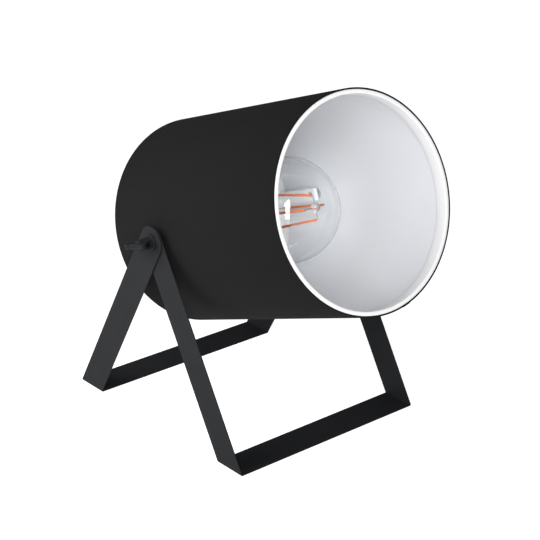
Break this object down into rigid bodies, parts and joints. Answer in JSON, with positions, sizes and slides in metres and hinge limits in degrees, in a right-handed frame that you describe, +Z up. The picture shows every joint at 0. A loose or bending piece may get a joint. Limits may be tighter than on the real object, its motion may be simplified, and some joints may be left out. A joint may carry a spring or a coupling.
{
  "type": "table lamp",
  "caption": "Cylinder shade in black textile, tilting between the arms of folded black steel leg frames that stand as an A, with a clear globe bulb inside.",
  "frame": {"origin": "on the table, under the middle of the lamp's box, the shade in its rest tilt", "axes": "+X the way the shade's mouth looks, +Y to the lamp's left, +Z up"},
  "size_m": [0.3174, 0.2442, 0.3284],
  "materials": {
    "black_fabric": "matte black woven textile",
    "white_lining": "white lining film, matte",
    "white_hem": "white wrapped hem, matte",
    "white_board": "white board, matte",
    "white_metal": "white paint, satin",
    "black_metal": "black powder coat, satin",
    "black_nylon": "moulded black nylon",
    "zinc": "zinc-plated steel",
    "nickel": "nickel-plated, bright",
    "brass": "plain brass",
    "ceramic": "glazed ceramic",
    "white_plastic": "moulded white plastic",
    "circuit_board": "green circuit board with parts",
    "clear_glass": "clear glass",
    "filament": "amber phosphor coating"
  },
  "bodies": {
    "front_frame": {"front_leg_frame": "black_metal"},
    "rear_frame": {"rear_leg_frame": "black_metal"},
    "shade": {"shade_fabric": "black_fabric", "shade_liner": "white_lining", "front_rim_ring": "white_hem", "rear_rim_ring": "white_hem", "rear_panel": "white_board", "carrier_bracket": "white_metal", "pivot_stud_left": "zinc", "pivot_stud_right": "zinc", "stud_lock_nut_left": "zinc", "stud_lock_nut_right": "zinc", "spacer_bush_left": "black_nylon", "spacer_bush_right": "black_nylon", "bracket_rivet_left": "zinc", "bracket_rivet_right": "zinc", "lampholder_cap": "white_plastic", "lampholder_shell": "white_plastic", "lampholder_core": "ceramic", "lampholder_sleeve": "brass", "centre_contact": "brass", "terminal_screw_left": "brass", "terminal_screw_right": "brass", "nipple": "zinc", "nipple_nut": "zinc", "cord_gland": "black_nylon"},
    "washer_left": {"washer_left": "black_metal"},
    "washer_right": {"washer_right": "black_metal"},
    "wing_nut_left": {"wing_nut_left": "black_metal"},
    "wing_nut_right": {"wing_nut_right": "black_metal"},
    "bulb_tip": {"bulb_tip_contact": "zinc"},
    "bulb": {"bulb_insulator": "black_nylon", "bulb_screw_cap": "nickel", "led_driver": "circuit_board", "bulb_globe": "clear_glass", "bulb_stem": "clear_glass", "filament_1": "filament", "filament_2": "filament", "filament_3": "filament", "filament_4": "filament", "top_wire_1": "nickel", "top_wire_2": "nickel", "top_wire_3": "nickel", "top_wire_4": "nickel", "base_wire_1": "nickel", "base_wire_2": "nickel", "base_wire_3": "nickel", "base_wire_4": "nickel"}
  },
  "joints": [
    {"name": "rear_frame_fold", "type": "hinge", "parent": "front_frame", "child": "rear_frame", "pos_m": [-0.03536, 0, 0.1811], "axis": [0, -1, 0], "range_deg": [-50, 48]},
    {"name": "shade_tilt", "type": "hinge", "parent": "front_frame", "child": "shade", "pos_m": [-0.03536, 0, 0.1811], "axis": [0, -1, 0], "range_deg": [-50, 190]},
    {"name": "washer_left_slide", "type": "slide", "parent": "shade", "child": "washer_left", "axis": [0, 1, 0], "range_m": [0, 0.00226]},
    {"name": "wing_nut_left_turn", "type": "hinge", "parent": "washer_left", "child": "wing_nut_left", "pos_m": [-0.03536, 0.1033, 0.1811], "axis": [0, 1, 0], "range_deg": [0, 810]},
    {"name": "washer_right_slide", "type": "slide", "parent": "shade", "child": "washer_right", "axis": [0, -1, 0], "range_m": [0, 0.00226]},
    {"name": "wing_nut_right_turn", "type": "hinge", "parent": "washer_right", "child": "wing_nut_right", "pos_m": [-0.03536, -0.1033, 0.1811], "axis": [0, -1, 0], "range_deg": [0, 810]},
    {"name": "bulb_travel", "type": "slide", "parent": "shade", "child": "bulb_tip", "axis": [0.9418, 0, 0.3363], "range_m": [0, 0.0182]},
    {"name": "bulb_turn", "type": "hinge", "parent": "bulb_tip", "child": "bulb", "pos_m": [-0.03536, 0, 0.1811], "axis": [0.9418, 0, 0.3363], "range_deg": [0, 1800]}
  ],
  "couplings": [
    {"joint": "washer_left_slide", "follows": "wing_nut_left_turn", "m_per_rad": 0.00015915},
    {"joint": "washer_right_slide", "follows": "wing_nut_right_turn", "m_per_rad": 0.00015915},
    {"joint": "bulb_travel", "follows": "bulb_turn", "m_per_rad": 0.00057757}
  ]
}
